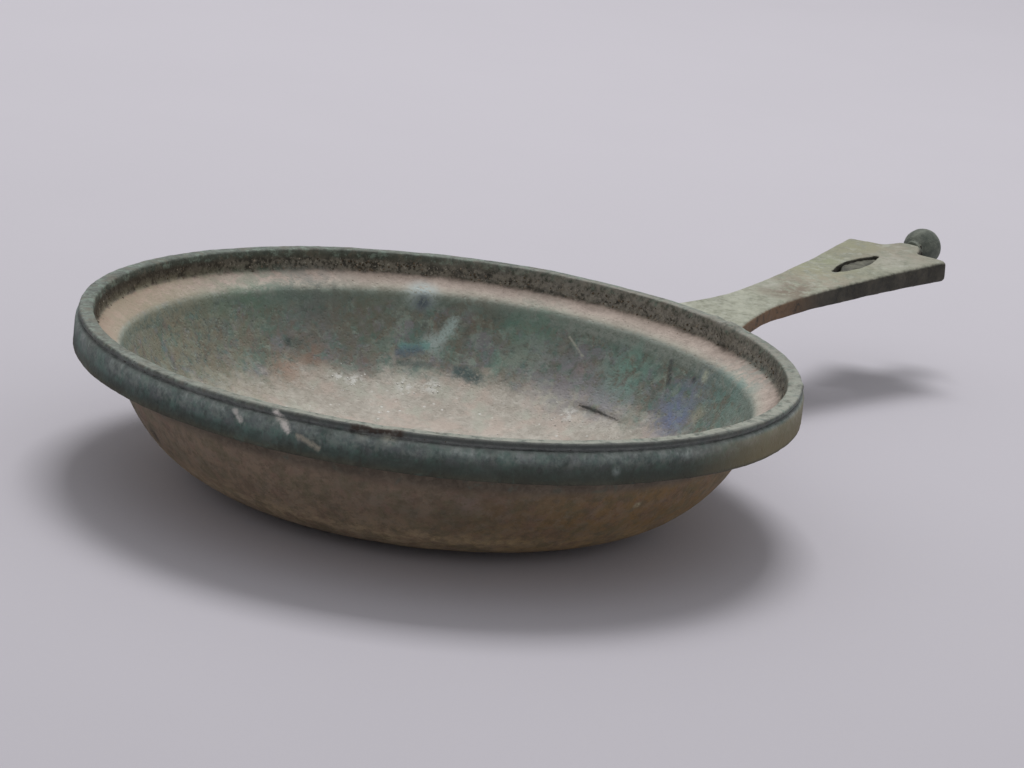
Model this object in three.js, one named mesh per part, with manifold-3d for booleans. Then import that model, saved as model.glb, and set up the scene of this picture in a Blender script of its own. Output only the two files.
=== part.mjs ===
// A small bronze cooking pan: a turned bowl with a banded rim and a lid ledge, and a flat cast handle
// that is soft-soldered under the rim. A turned knob is tenoned into the tongue at the handle's end.
// Millimetres, +Z up. The origin is the centre of the base, and the handle lies along +X.

import * as THREE from 'three';
import { mergeVertices } from 'three/addons/utils/BufferGeometryUtils.js';
import Module from 'manifold-3d';

const wasm = await Module();
wasm.setup();

// Driving dimensions of the bowl
const panHeight = 29.8;
const baseRadius = 33;
const rimRadius = 67.9;        // outside of the band
const rimOverhang = 7.1;       // band beyond the wall
const wallThickness = 1.3;
const floorThickness = 1.6;
const wallSquareness = 5.6;    // power of the wall's curve along the radius
const wallFullness = 1.37;     // power of the wall's curve along the depth
const wallSpringDrop = 4.8;    // lip to where the wall's curve springs

// Driving dimensions of the rim; a drop is measured down from the top of the lip
const lipSetback = 0.5;        // lip behind the band's face
const lipWidth = 2.8;
const lipRounding = 0.5;
const grooveDepth = 0.6;       // turned line between lip and band
const grooveDrop = 1.4;
const grooveRise = 0.6;        // from the groove's deepest line up to the lip's edge
const shoulderHeight = 1.6;    // rounding of the band's top edge
const bandBottomDrop = 7.1;
const bandRounding = 0.4;
const undersideDip = 0.5;      // the band's underside falls towards the wall
const filletSize = 2;          // between the underside and the wall
const ledgeDrop = 3.85;        // at the ledge's outer edge
const ledgeSlope = 29;         // degrees
const ledgeDraft = 0.7;        // how far the rim leans in down to the ledge
const ledgeCorner = 0.6;
const ledgeRounding = 0.7;

// Driving dimensions of the handle, measured along it from the bowl's wall
const handleLength = 107.8;    // to the line between the two corners
const handleRise = 3.8;        // degrees
const handleDrop = 9.6;        // lip top to the handle's face at the wall
const rootThickness = 2.8;
const endThickness = 4.7;
const waistWidth = 12.0;
const waistAt = 50.5;
const waistPull = 12;          // length of the straight run at the waist, each way
const endWidth = 25.2;
const endFlare = 11;           // degrees, the long side's angle at the corner
const flarePull = 19;          // how far that angle is felt
const endCrown = 0.8;          // the end swells between its corners
const endSkew = 1.5;           // the corner at -Y reaches this much farther than the one at +Y
const cornerRounding = 1.4;
const edgeChamfer = 0.6;
const slotAt = 89.7;
const slotLength = 18.5;
const slotWidth = 4.6;
const slotTipWidth = 1;

// Driving dimensions of the tongue that carries the knob
const tongueLength = 5.8;      // beyond the line between the corners
const tongueRootWidth = 9.4;
const tongueTipWidth = 5.2;
const tongueFillet = 1;
const tongueRounding = 0.8;

// Driving dimensions of the root's two arms, which hug the wall under the rim
const armInset = 1.6;          // behind the band's face
const armAngle = 20;           // degrees, where the flare meets the arm
const armTipAngle = 28;        // degrees
const armRounding = 3;
const armFlareRun = 7.7;       // the flare leaves the arm in this direction
const armFlareFall = 8.2;

// Driving dimensions of the solder under the rim
const solderReach = 0.6;       // share of the rim's underside that it covers
const solderHollow = 1;
const solderDepth = 1;         // below the handle's face at the wall, before it is trimmed

// Driving dimensions of the knob
const knobDiameter = 8.5;
const knobNeckDiameter = 4.2;
const knobNeckLength = 0.8;
const knobLift = 0.8;          // above the middle of the tongue
const tenonDiameter = 2.0;
const tenonLength = 4.0;

// Clearances, cutters and facets
const seatGap = 0.3;           // between pieces that are soldered or tenoned
const cutMargin = 1;           // how far a cutter runs past a face
const weldTolerance = 1e-4;
const bowlFacets = 84;
const seatFacets = 150;
const knobFacets = 28;
const socketFacets = 20;
const outerWallSteps = 13;
const innerWallSteps = 12;
const seatWallSteps = 18;
const cornerSteps = 4;
const sideSteps = 12;
const slotSteps = 12;
const ballSteps = 14;

// Sizes that follow from the driving dimensions
const wallRadius = rimRadius - rimOverhang;
const lipRadius = rimRadius - lipSetback;
const lipInner = lipRadius - lipWidth;
const armRadius = rimRadius - armInset;
const tongueEnd = handleLength + tongueLength;

const rad = THREE.MathUtils.degToRad;
const at = (radius, drop) => new THREE.Vector2(radius, panHeight - drop);
const plan = (x, y) => new THREE.Vector2(x, y);

const bend = (from, control, to) =>
  new THREE.QuadraticBezierCurve(from, control, to).getPoints(cornerSteps);

// A corner between two straight stretches, rounded over the given size
function rounded(before, corner, after, size) {
  const toward = (p) => corner.clone().add(p.clone().sub(corner).setLength(size));
  return bend(toward(before), corner, toward(after));
}

// The wall is a superellipse that springs from the rim and is cut flat at the base.
function wallCurve(topRadius, bottomRadius, bottomZ) {
  const lastAngle = Math.acos((bottomRadius / topRadius) ** (wallSquareness / 2));
  const fullDepth = (panHeight - wallSpringDrop - bottomZ) / Math.sin(lastAngle) ** (2 / wallFullness);
  const point = (angle) => at(
    topRadius * Math.cos(angle) ** (2 / wallSquareness),
    wallSpringDrop + fullDepth * Math.sin(angle) ** (2 / wallFullness),
  );
  const angleAtDrop = (drop) => Math.asin(((drop - wallSpringDrop) / fullDepth) ** (wallFullness / 2));
  const pointAtDrop = (drop) => point(angleAtDrop(drop));
  // From a drop down to the base, with even steps of the angle
  const pointsBelow = (drop, steps) => {
    const first = angleAtDrop(drop);
    return Array.from({ length: steps + 1 }, (_, i) => point(first + (lastAngle - first) * i / steps));
  };
  return { pointAtDrop, pointsBelow };
}

const outerWall = wallCurve(wallRadius, baseRadius, 0);
const innerWall = wallCurve(wallRadius - wallThickness, baseRadius - wallThickness, floorThickness);

// Underside of the rim, from the wall out to the bottom of the band's face
function rimUnderside() {
  const innerDrop = bandBottomDrop + undersideDip;
  const filletDrop = innerDrop + filletSize;
  const wallEnd = outerWall.pointAtDrop(filletDrop);
  const innerEnd = at(wallRadius + filletSize, innerDrop);
  const bandEdge = at(rimRadius, bandBottomDrop);
  const faceStart = at(rimRadius, bandBottomDrop - bandRounding);
  return {
    filletDrop,
    fillet: bend(wallEnd, at(wallEnd.x, innerDrop), innerEnd),
    edge: rounded(innerEnd, bandEdge, faceStart, bandRounding),
  };
}

// Outside of the rim, from the band's face over the groove and the lip to the rim's inner side
function rimOutside() {
  const groove = at(lipRadius - grooveDepth, grooveDrop);
  const lipEdge = at(lipRadius, grooveDrop - grooveRise);
  return [
    ...bend(at(rimRadius, grooveDrop + shoulderHeight), at(rimRadius, grooveDrop), groove),
    ...bend(lipEdge, at(lipRadius, 0), at(lipRadius - lipRounding, 0)),
    ...bend(at(lipInner + lipRounding, 0), at(lipInner, 0), at(lipInner, lipRounding)),
  ];
}

// The ledge that the lid sat on, from the rim's inner side to the top of the inner wall
function ledge() {
  const outer = at(lipInner - ledgeDraft, ledgeDrop);
  const slope = Math.tan(rad(ledgeSlope));
  const width = outer.x - (wallRadius - wallThickness);
  const inner = at(outer.x - width, ledgeDrop + width * slope);
  const wallDrop = ledgeDrop + width * slope + ledgeRounding;
  return {
    wallDrop,
    points: [
      ...rounded(at(lipInner, lipRounding), outer, inner, ledgeCorner),
      ...rounded(outer, inner, innerWall.pointAtDrop(wallDrop), ledgeRounding),
    ],
  };
}

const underside = rimUnderside();
const seat = ledge();

function revolve(profile, facets) {
  return new THREE.LatheGeometry(profile, facets).rotateX(Math.PI / 2);
}

function bowlGeometry() {
  return revolve([
    plan(0, 0),
    ...outerWall.pointsBelow(underside.filletDrop, outerWallSteps).reverse().slice(0, -1),
    ...underside.fillet,
    ...underside.edge,
    ...rimOutside(),
    ...seat.points.slice(0, -1),
    ...innerWall.pointsBelow(seat.wallDrop, innerWallSteps),
    plan(0, floorThickness),
  ], bowlFacets);
}

// Booleans: a closed geometry becomes a solid, and a solid becomes a geometry.
function solidOf(geometry) {
  const bare = geometry.clone();
  bare.deleteAttribute('normal');
  bare.deleteAttribute('uv');
  const merged = mergeVertices(bare, weldTolerance);
  const index = merged.index.array;
  const corners = [];
  for (let i = 0; i < index.length; i += 3) {
    const [a, b, c] = index.slice(i, i + 3);
    if (a !== b && b !== c && c !== a) corners.push(a, b, c);
  }
  return new wasm.Manifold(new wasm.Mesh({
    numProp: 3,
    vertProperties: merged.attributes.position.array,
    triVerts: Uint32Array.from(corners),
  }));
}

function geometryOf(solid) {
  const mesh = solid.getMesh();
  const geometry = new THREE.BufferGeometry();
  geometry.setAttribute('position', new THREE.BufferAttribute(Float32Array.from(mesh.vertProperties), 3));
  geometry.setIndex(new THREE.BufferAttribute(Uint32Array.from(mesh.triVerts), 1));
  geometry.computeVertexNormals();
  return geometry;
}

// The handle's own frame: the origin is on its top face where it meets the wall, x runs along it.
const rootRadius = outerWall.pointAtDrop(handleDrop).x;
const handleFrame = new THREE.Group();
handleFrame.position.set(rootRadius, 0, panHeight - handleDrop);
handleFrame.rotation.y = -rad(handleRise);
handleFrame.updateMatrixWorld();
const toHandle = handleFrame.matrixWorld.clone().invert();

// A place on the handle's plan by its radius and angle about the bowl's axis
const polar = (radius, degrees) =>
  plan(radius * Math.cos(rad(degrees)) - rootRadius, radius * Math.sin(rad(degrees)));

// One long side of the handle, from its arm along the waist and the corner to the tongue's tip.
// The lead is how far its corner reaches beyond the mean of the two corners.
function handleSide(lead) {
  const armEnd = polar(armRadius, armAngle);
  const armCorner = polar(armRadius, armTipAngle);
  const armTip = polar(rootRadius, armTipAngle);
  const waist = plan(waistAt, waistWidth / 2);
  const corner = plan(handleLength + lead, endWidth / 2);
  const flareEnd = plan(corner.x - flarePull, corner.y - flarePull * Math.tan(rad(endFlare)));
  const tongueRoot = plan(handleLength + endCrown, tongueRootWidth / 2);
  const tongueTip = plan(tongueEnd, tongueTipWidth / 2);
  const rootFlare = new THREE.CubicBezierCurve(
    armEnd, plan(armEnd.x + armFlareRun, armEnd.y - armFlareFall), plan(waist.x - waistPull, waist.y), waist,
  );
  const blade = new THREE.CubicBezierCurve(waist, plan(waist.x + waistPull, waist.y), flareEnd, corner);
  return [
    polar(rootRadius - cutMargin, armTipAngle),
    ...rounded(armTip, armCorner, armEnd, armRounding),
    ...rootFlare.getPoints(sideSteps),
    ...blade.getPoints(sideSteps).slice(1, -1),
    ...rounded(flareEnd, corner, tongueRoot, cornerRounding),
    ...rounded(corner, tongueRoot, tongueTip, tongueFillet),
    ...rounded(tongueRoot, tongueTip, plan(tongueEnd, 0), tongueRounding),
  ];
}

// A closed outline of two sides, the second one given as if it lay at +Y too
function outline(side, otherSide) {
  return new THREE.Shape([...side, ...otherSide.map((p) => plan(p.x, -p.y)).reverse()]);
}

const handleOutline = outline(handleSide(-endSkew / 2), handleSide(endSkew / 2));

// The outside of the bowl as a filled solid, grown by the seat gap, seen from the handle's frame
function wallCutter() {
  const top = handleDrop - edgeChamfer - cutMargin;
  const grown = outerWall.pointsBelow(top, seatWallSteps).reverse().map((p) => plan(p.x + seatGap, p.y));
  const profile = [plan(0, 0), ...grown, at(0, top)];
  return solidOf(revolve(profile, seatFacets).applyMatrix4(toHandle));
}

// A lens with blunt ends, made of two arcs
function slotShape() {
  const arc = Array.from({ length: slotSteps + 1 }, (_, i) => {
    const along = 2 * i / slotSteps - 1;
    const width = Math.max(slotWidth * (1 - along * along), slotTipWidth);
    return plan(slotAt + slotLength / 2 * along, width / 2);
  });
  return outline(arc, arc);
}

function extrudeBetween(shape, bottom, top) {
  return new THREE.ExtrudeGeometry(shape, { depth: top - bottom, bevelEnabled: false }).translate(0, 0, bottom);
}

// The knob sits on the tongue's end, a little above the middle of its thickness.
const knobSeat = new THREE.Vector3(tongueEnd, 0, knobLift - endThickness / 2);

function handleGeometry() {
  const slab = new THREE.ExtrudeGeometry(handleOutline, {
    depth: endThickness - 2 * edgeChamfer,
    bevelEnabled: true,
    bevelSize: edgeChamfer,
    bevelThickness: edgeChamfer,
    bevelOffset: -edgeChamfer,
    bevelSegments: 1,
  }).translate(0, 0, edgeChamfer - endThickness);
  // The plate thins evenly from its end to its root.
  const place = slab.attributes.position;
  for (let i = 0; i < place.count; i += 1) {
    const along = place.getX(i) / handleLength;
    const thickness = rootThickness + (endThickness - rootThickness) * along;
    place.setZ(i, place.getZ(i) * thickness / endThickness);
  }
  const slot = extrudeBetween(slotShape(), -endThickness - cutMargin, cutMargin);
  const socketRadius = tenonDiameter / 2 + seatGap;
  const socket = new THREE.CylinderGeometry(
    socketRadius, socketRadius, 2 * (tenonLength + seatGap), socketFacets,
  ).rotateZ(Math.PI / 2).translate(...knobSeat);
  return geometryOf(solidOf(slab).subtract(wallCutter()).subtract(solidOf(slot)).subtract(solidOf(socket)));
}

// Turned in one: tenon, neck and ball, along the handle
function knobGeometry() {
  const ball = knobDiameter / 2;
  const neck = knobNeckDiameter / 2;
  const tenon = tenonDiameter / 2;
  const neckAngle = Math.asin(neck / ball);
  const ballAt = knobNeckLength + ball * Math.cos(neckAngle);
  const round = Array.from({ length: ballSteps }, (_, i) => {
    const angle = neckAngle + (Math.PI - neckAngle) * i / ballSteps;
    return plan(ball * Math.sin(angle), ballAt - ball * Math.cos(angle));
  });
  return new THREE.LatheGeometry([
    plan(0, -tenonLength),
    plan(tenon, -tenonLength),
    plan(tenon, 0),
    plan(neck, 0),
    ...round,
    plan(0, ballAt + ball),
  ], knobFacets).rotateZ(-Math.PI / 2);
}

// The fillet of solder fills the corner between the wall, the rim's underside and the root.
function solderGeometry() {
  const clear = (p) => plan(p.x + seatGap, p.y - seatGap);
  const footDrop = handleDrop + solderDepth;
  const roof = underside.fillet.map(clear);
  const inner = underside.fillet[cornerSteps];
  const outer = clear(inner.clone().lerp(underside.edge[0], solderReach));
  const foot = plan(outer.x, panHeight - footDrop);
  const hollow = plan(outer.x - solderHollow, (outer.y + foot.y) / 2);
  const ring = [clear(outerWall.pointAtDrop(footDrop)), ...roof, ...bend(outer, hollow, foot)];
  const turned = solidOf(revolve([...ring, ring[0]].reverse(), seatFacets).applyMatrix4(toHandle));
  const above = solidOf(extrudeBetween(handleOutline, seatGap, handleDrop));
  return geometryOf(turned.intersect(above));
}

function pieceOf(name, geometry, color, roughness, metalness) {
  const mesh = new THREE.Mesh(geometry, new THREE.MeshStandardMaterial({ color, roughness, metalness }));
  mesh.name = name;
  return mesh;
}

const tealPatina = 0x55645b;
const paleOlivePatina = 0x7f8775;
const dullSolder = 0x8b8d88;
const darkPatina = 0x5d655c;

const pan = new THREE.Group();
pan.add(pieceOf('bowl', bowlGeometry(), tealPatina, 0.75, 0.35));
pan.add(handleFrame);
handleFrame.add(pieceOf('handle', handleGeometry(), paleOlivePatina, 0.8, 0.3));
handleFrame.add(pieceOf('handle_solder', solderGeometry(), dullSolder, 0.7, 0.5));
const knob = pieceOf('finial_knob', knobGeometry(), darkPatina, 0.65, 0.4);
knob.position.copy(knobSeat).x += seatGap;
handleFrame.add(knob);

export default pan;
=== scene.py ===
"""Looks of the bronze pan: an aged bowl with a banded rim, a flat soldered handle and a small end knob.

Lengths in the constants are millimetres, and MM turns them into metres. Colours are linear.
"""

import math
import random

import bmesh
import bpy
import numpy as np
from mathutils import Matrix, Vector, noise


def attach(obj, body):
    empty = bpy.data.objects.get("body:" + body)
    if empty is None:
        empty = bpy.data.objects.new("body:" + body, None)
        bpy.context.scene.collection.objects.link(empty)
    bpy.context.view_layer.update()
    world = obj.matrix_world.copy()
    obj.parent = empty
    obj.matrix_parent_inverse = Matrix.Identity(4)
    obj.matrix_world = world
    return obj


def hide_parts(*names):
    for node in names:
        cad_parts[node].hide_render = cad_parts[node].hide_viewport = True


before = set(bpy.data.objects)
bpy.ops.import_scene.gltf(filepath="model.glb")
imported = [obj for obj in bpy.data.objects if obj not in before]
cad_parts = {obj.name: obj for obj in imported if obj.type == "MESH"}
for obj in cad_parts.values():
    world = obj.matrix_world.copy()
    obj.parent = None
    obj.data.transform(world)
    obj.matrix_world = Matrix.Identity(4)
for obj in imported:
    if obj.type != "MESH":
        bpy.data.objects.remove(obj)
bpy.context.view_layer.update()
scene = bpy.context.scene

MM = 0.001

# Camera, light and backdrop
CAMERA_PLACE = (-523.478, -382.345, 195.868)
CAMERA_RIGHT = (0.593841, -0.796045, 0.116902)
CAMERA_UP = (0.141219, 0.246164, 0.958885)
FOCAL_PIXELS = 3600
IMAGE_PIXELS = 1024
SENSOR = 36.0

BACKDROP = (0.523, 0.502, 0.549)
WORLD_STRENGTH = 0.50
KEY_POWER = 9.8
KEY_SIZE = 0.5
KEY_PLACE = (0.50, 0.32, 1.20)
FLOOR_HALF = 3000

# The bowl's turned profile: a drop is measured down from the top of the lip
PAN_HEIGHT = 29.8
BASE_RADIUS = 33
RIM_RADIUS = 67.9
RIM_OVERHANG = 7.1
WALL_THICKNESS = 1.3
FLOOR_THICKNESS = 1.6
WALL_SQUARENESS = 5.6
WALL_FULLNESS = 1.37
WALL_SPRING_DROP = 4.8
LIP_SETBACK = 0.5
LIP_WIDTH = 2.8
LIP_ROUNDING = 0.5
GROOVE_DEPTH = 0.6
GROOVE_DROP = 1.4
GROOVE_RISE = 0.6
SHOULDER_HEIGHT = 1.6
BAND_BOTTOM_DROP = 7.1
BAND_ROUNDING = 0.4
UNDERSIDE_DIP = 0.5
FILLET_SIZE = 2
LEDGE_DROP = 3.85
LEDGE_SLOPE = math.radians(29)
LEDGE_DRAFT = 0.7
LEDGE_CORNER = 0.6
LEDGE_ROUNDING = 0.7
BOWL_FACETS = 480

# The handle's top face where it meets the wall, and its rise
HANDLE_PLACE = (60.75, 0, 20.2)
HANDLE_RISE = math.radians(3.8)
TONGUE_END = 113.6
KNOB_SEAT_DROP = 1.55
NECK_RADIUS = 2.1
SOCKET_DEPTH = 4.3
ROOF_THICKNESS = 0.7
SLOT_AT = 89.7
SLOT_LENGTH = 18.5
SLOT_WIDTH = 4.6

# Height of the grain on each stretch of the profile
GRAIN_HEIGHT = {
    "base": 0.0,
    "body": 0.03,
    "underside": 0.04,
    "band_edge": 0.06,
    "band": 0.05,
    "shoulder": 0.06,
    "groove": 0.09,
    "lip_outside": 0.06,
    "lip": 0.05,
    "lip_inside": 0.07,
    "rim_inside": 0.14,
    "ledge_corner": 0.14,
    "ledge": 0.06,
    "ledge_edge": 0.06,
    "inner_wall": 0.05,
    "floor": 0.07,
}

# Lumps and chips of the bowl: centre, radius and height
DENTS = (
    ((60.1, -24.6, 29.7), 2.2, 0.75),
    ((59.1, -26.3, 29.6), 1.4, 0.35),
    ((63.2, -19.3, 29.8), 1.4, 0.45),
    ((-67.3, -8.2, 27.2), 1.3, -0.30),
    ((-65.6, -16.8, 27.8), 1.4, -0.35),
    ((-64.4, -21.6, 25.4), 1.5, -0.20),
    ((-59.2, -32.0, 29.5), 1.9, -0.35),
    ((36.5, -57.0, 29.4), 1.6, 0.25),
    ((46.0, 31.0, 15.0), 3.5, 0.22),
    ((45.4, 25.3, 10.0), 2.2, 0.22),
    ((-49.0, 25.4, 11.6), 1.4, -0.40),
)
CRACK = ((50.3, 1.6, 8.4), (50.3, -1.3, 8.4), (50.1, -3.8, 8.3), (49.6, -6.9, 8.2), (49.0, -9.8, 8.1))
CRACK_RADIUS = 50.3
CRACK_REACH = 2.2

# Streaks on the bowl: the radius that their breadth is measured at, and how much they are drawn out
STREAK_RADIUS = 60
STREAK_SQUEEZE = 0.2


def add_camera():
    right = Vector(CAMERA_RIGHT).normalized()
    up = Vector(CAMERA_UP)
    up = (up - right * up.dot(right)).normalized()
    data = bpy.data.cameras.new("camera")
    data.sensor_width = SENSOR
    data.lens = FOCAL_PIXELS / IMAGE_PIXELS * SENSOR
    data.clip_start = 0.01
    data.clip_end = 50
    camera = bpy.data.objects.new("camera", data)
    turn = Matrix((right, up, right.cross(up))).transposed().to_4x4()
    camera.matrix_world = Matrix.Translation(Vector(CAMERA_PLACE) * MM) @ turn
    scene.collection.objects.link(camera)
    scene.camera = camera


def add_key_light():
    data = bpy.data.lights.new("softbox", "AREA")
    data.shape = "SQUARE"
    data.size = KEY_SIZE
    data.energy = KEY_POWER
    lamp = bpy.data.objects.new("softbox", data)
    lamp.location = KEY_PLACE
    lamp.rotation_euler = (-Vector(KEY_PLACE)).to_track_quat("-Z", "Y").to_euler()
    scene.collection.objects.link(lamp)


def add_world():
    """Even light on everything, and the floor's own tone where the camera sees past the floor."""
    world = bpy.data.worlds.new("studio")
    scene.world = world
    world.use_nodes = True
    tree = world.node_tree
    tree.nodes.clear()
    seen = tree.nodes.new("ShaderNodeBackground")
    seen.inputs["Color"].default_value = (*BACKDROP, 1)
    lit = tree.nodes.new("ShaderNodeBackground")
    lit.inputs["Color"].default_value = (1, 1, 1, 1)
    lit.inputs["Strength"].default_value = WORLD_STRENGTH
    rays = tree.nodes.new("ShaderNodeLightPath")
    mix = tree.nodes.new("ShaderNodeMixShader")
    out = tree.nodes.new("ShaderNodeOutputWorld")
    tree.links.new(rays.outputs["Is Camera Ray"], mix.inputs["Fac"])
    tree.links.new(lit.outputs[0], mix.inputs[1])
    tree.links.new(seen.outputs[0], mix.inputs[2])
    tree.links.new(mix.outputs[0], out.inputs[0])


class Graph:
    """A material's nodes: each short call adds one step and returns its output socket."""

    def __init__(self, name):
        self.material = bpy.data.materials.new(name)
        self.material.use_nodes = True
        self.tree = self.material.node_tree
        self.tree.nodes.clear()
        coords = self.node("ShaderNodeTexCoord").outputs["Object"]
        self.place = self.vector("SCALE", coords, {3: 1 / MM})

    def node(self, kind, inputs=(), **settings):
        made = self.tree.nodes.new(kind)
        for key, value in settings.items():
            setattr(made, key, value)
        for key, value in dict(inputs).items():
            if isinstance(value, bpy.types.NodeSocket):
                self.tree.links.new(value, made.inputs[key])
            else:
                made.inputs[key].default_value = value
        return made

    def vector(self, operation, value, others, output=0):
        return self.node("ShaderNodeVectorMath", {0: value, **others}, operation=operation).outputs[output]

    def math(self, operation, a, b=0.0):
        return self.node("ShaderNodeMath", {0: a, 1: b}, operation=operation).outputs[0]

    def times(self, *values):
        product = values[0]
        for value in values[1:]:
            product = self.math("MULTIPLY", product, value)
        return product

    def plus(self, *values):
        total = values[0]
        for value in values[1:]:
            total = self.math("ADD", total, value)
        return total

    def centred(self, value, width):
        """A value from 0 to 1 turned into one around 0, of the given width."""
        return self.math("MULTIPLY", self.math("SUBTRACT", value, 0.5), width)

    def attribute(self, name):
        return self.node("ShaderNodeAttribute", attribute_name=name).outputs["Fac"]

    def shifted(self, seed, at=None):
        place = self.place if at is None else at
        return self.vector("ADD", place, {1: (seed * 17.3, seed * 9.1, seed * 5.7)})

    def downhill(self, run):
        """Places on the turned bowl, squeezed along the way down its profile so that noise makes streaks."""
        flat = self.vector("MULTIPLY", self.place, {1: (1, 1, 0)})
        ring = self.vector("SCALE", self.vector("NORMALIZE", flat, {}), {3: STREAK_RADIUS})
        down = self.node("ShaderNodeCombineXYZ", {2: self.times(run, STREAK_SQUEEZE)}).outputs[0]
        return self.vector("ADD", ring, {1: down})

    def noise(self, size, seed, detail=4.0, rough=0.58, warp=0.0, at=None):
        """Noise around 0.5 with features about size millimetres across."""
        inputs = {
            "Vector": self.shifted(seed, at),
            "Scale": 1 / size,
            "Detail": detail,
            "Roughness": rough,
            "Distortion": warp,
        }
        return self.node("ShaderNodeTexNoise", inputs).outputs["Fac"]

    def cells(self, size, seed):
        """Random cells: the distance to the nearest centre, and a number from 0 to 1 for each cell."""
        inputs = {"Vector": self.shifted(seed), "Scale": 1 / size}
        made = self.node("ShaderNodeTexVoronoi", inputs)
        pick = self.node("ShaderNodeSeparateColor", {0: made.outputs["Color"]})
        return made.outputs["Distance"], pick.outputs[0]

    def span(self, value, low, high, out_low=0.0, out_high=1.0):
        """A smooth step from out_low at low to out_high at high."""
        inputs = {0: value, 1: low, 2: high, 3: out_low, 4: out_high}
        return self.node("ShaderNodeMapRange", inputs, interpolation_type="SMOOTHSTEP").outputs[0]

    def zone(self, value, low, high, soft):
        """1 between low and high, falling to 0 over soft on either side."""
        rise = self.span(value, low - soft, low + soft)
        return self.times(rise, self.span(value, high + soft, high - soft))

    def ramp(self, value, stops, mode="LINEAR"):
        made = self.node("ShaderNodeValToRGB", {"Fac": value})
        made.color_ramp.interpolation = mode
        elements = made.color_ramp.elements
        while len(elements) < len(stops):
            elements.new(0.5)
        for element, (where, colour) in zip(elements, stops):
            element.position = where
            element.color = (*colour, 1)
        return made.outputs["Color"]

    def mix(self, share, a, b):
        made = self.node("ShaderNodeMix", data_type="RGBA")
        for index, value in ((0, share), (6, a), (7, b)):
            if isinstance(value, bpy.types.NodeSocket):
                self.tree.links.new(value, made.inputs[index])
            elif index:
                made.inputs[index].default_value = (*value, 1)
            else:
                made.inputs[index].default_value = value
        return made.outputs[2]

    def near(self, centre, radius, soft=0.5, stretch=(1, 1, 1)):
        """1 within radius of a point, falling to 0 over soft times the radius."""
        away = self.vector("SUBTRACT", self.place, {1: centre})
        away = self.vector("MULTIPLY", away, {1: stretch})
        return self.span(self.vector("LENGTH", away, {}, "Value"), radius * (1 + soft), radius * (1 - soft))

    def from_chain(self, points):
        """The distance to a chain of points."""
        nearest = None
        for start, end in zip(points, points[1:]):
            along = Vector(end) - Vector(start)
            away = self.vector("SUBTRACT", self.place, {1: start})
            share = self.vector("DOT_PRODUCT", away, {1: along / along.length_squared}, "Value")
            share = self.math("MINIMUM", self.math("MAXIMUM", share, 0.0), 1.0)
            foot = self.vector("SCALE", tuple(along), {3: share})
            gap = self.vector("DISTANCE", away, {1: foot}, "Value")
            nearest = gap if nearest is None else self.math("MINIMUM", nearest, gap)
        return nearest

    def finish(self, colour, roughness, height, relief, specular=0.3):
        bump = self.node("ShaderNodeBump", {"Height": height, "Distance": relief * MM, "Strength": 1.0})
        shader = self.node(
            "ShaderNodeBsdfPrincipled",
            {
                "Base Color": colour,
                "Roughness": roughness,
                "Normal": bump.outputs[0],
                "Specular IOR Level": specular,
            },
        )
        out = self.node("ShaderNodeOutputMaterial")
        self.tree.links.new(shader.outputs[0], out.inputs["Surface"])
        return self.material


def line(start, end, steps):
    t = np.linspace(0, 1, steps + 1)[:, None]
    return np.array(start, float) * (1 - t) + np.array(end, float) * t


def bend(start, control, end, steps):
    """Points of a quadratic Bezier curve."""
    return line(start, control, steps) * (1 - np.linspace(0, 1, steps + 1)[:, None]) + (
        line(control, end, steps) * np.linspace(0, 1, steps + 1)[:, None]
    )


def toward(start, end, distance):
    """The point at a distance from start on the way to end."""
    start, end = np.array(start, float), np.array(end, float)
    return start + (end - start) * distance / np.linalg.norm(end - start)


class Wall:
    """A superellipse that springs below the rim; its points are (radius, drop)."""

    def __init__(self, top_radius, bottom_radius, bottom_z):
        self.top_radius = top_radius
        self.last = math.acos((bottom_radius / top_radius) ** (WALL_SQUARENESS / 2))
        depth = PAN_HEIGHT - WALL_SPRING_DROP - bottom_z
        self.depth = depth / math.sin(self.last) ** (2 / WALL_FULLNESS)

    def point(self, angle):
        return (
            self.top_radius * math.cos(angle) ** (2 / WALL_SQUARENESS),
            WALL_SPRING_DROP + self.depth * math.sin(angle) ** (2 / WALL_FULLNESS),
        )

    def angle_at(self, drop):
        return math.asin(((drop - WALL_SPRING_DROP) / self.depth) ** (WALL_FULLNESS / 2))

    def below(self, drop, steps):
        return np.array([self.point(a) for a in np.linspace(self.angle_at(drop), self.last, steps + 1)])


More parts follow.
